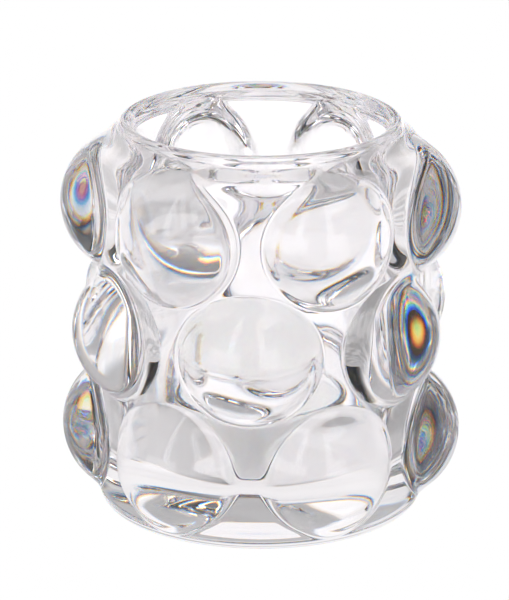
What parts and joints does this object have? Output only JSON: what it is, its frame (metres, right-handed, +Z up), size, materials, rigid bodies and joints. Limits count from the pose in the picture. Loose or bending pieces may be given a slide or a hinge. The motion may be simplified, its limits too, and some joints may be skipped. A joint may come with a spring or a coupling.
{
  "type": "tealight holder",
  "caption": "Thick clear pressed-glass tealight holder with staggered rows of round lens-like bosses, a plain open cup and a lift-out tealight.",
  "frame": {"origin": "centre of the standing ring, on the surface it stands on", "axes": "+Z up along the axis of the cup; -Y towards a boss of the middle row"},
  "size_m": [0.09, 0.09, 0.09],
  "materials": {
    "clear_glass": "fire-polished pressed soda-lime glass, colourless",
    "clear_plastic": "clear polycarbonate",
    "white_wax": "smooth waxy satin",
    "tinned_steel": "thin tin-plated sheet",
    "cotton_wick": "waxed cotton braid"
  },
  "bodies": {
    "holder": {"glass_holder": "clear_glass"},
    "tealight": {"tealight_cup": "clear_plastic", "wax_fill": "white_wax", "wick_sustainer": "tinned_steel", "wick": "cotton_wick"}
  },
  "joints": [
    {"name": "tealight_lift", "type": "slide", "parent": "holder", "child": "tealight", "axis": [0, 0, 1], "range_m": [0, 0.095]}
  ]
}
